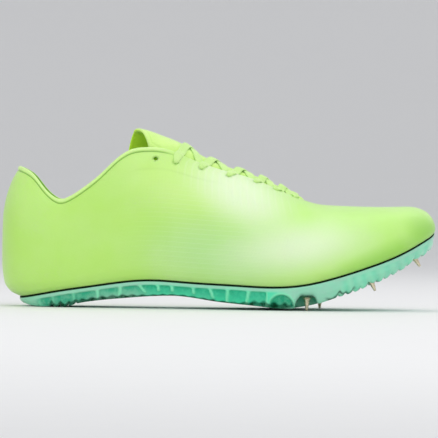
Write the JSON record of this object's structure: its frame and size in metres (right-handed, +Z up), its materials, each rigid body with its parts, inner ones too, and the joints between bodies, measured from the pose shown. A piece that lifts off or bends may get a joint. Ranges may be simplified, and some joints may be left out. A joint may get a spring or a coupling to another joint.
{
  "type": "track spike shoe",
  "caption": "Right track spike shoe: thin woven yellow-green upper, flat criss-cross lace, thin turquoise resin plate with steel pins",
  "frame": {"origin": "middle of the shoe's box on the floor, with heel and rear pins' tips at z 0", "axes": "+X to the toe, +Y to the inner side of the foot, +Z up"},
  "size_m": [0.2802, 0.0942, 0.1156],
  "materials": {
    "upper_mesh": "thin woven mesh, slightly glossy",
    "board_edge": "dark matt edge",
    "plate_resin": "translucent moulded resin",
    "insole_foam": "cloth over thin foam",
    "tongue_cloth": "thin padded cloth",
    "lace_cloth": "flat woven lace",
    "pin_steel": "pale plated steel"
  },
  "bodies": {
    "root": {"upper": "upper_mesh", "lasting_board": "board_edge", "spike_plate": "plate_resin", "insole": "insole_foam", "tongue": "tongue_cloth", "laces": "lace_cloth", "pin_outer_rear": "pin_steel", "pin_inner_rear": "pin_steel", "pin_outer_middle": "pin_steel", "pin_inner_middle": "pin_steel", "pin_outer_front": "pin_steel", "pin_inner_front": "pin_steel"}
  },
  "joints": []
}
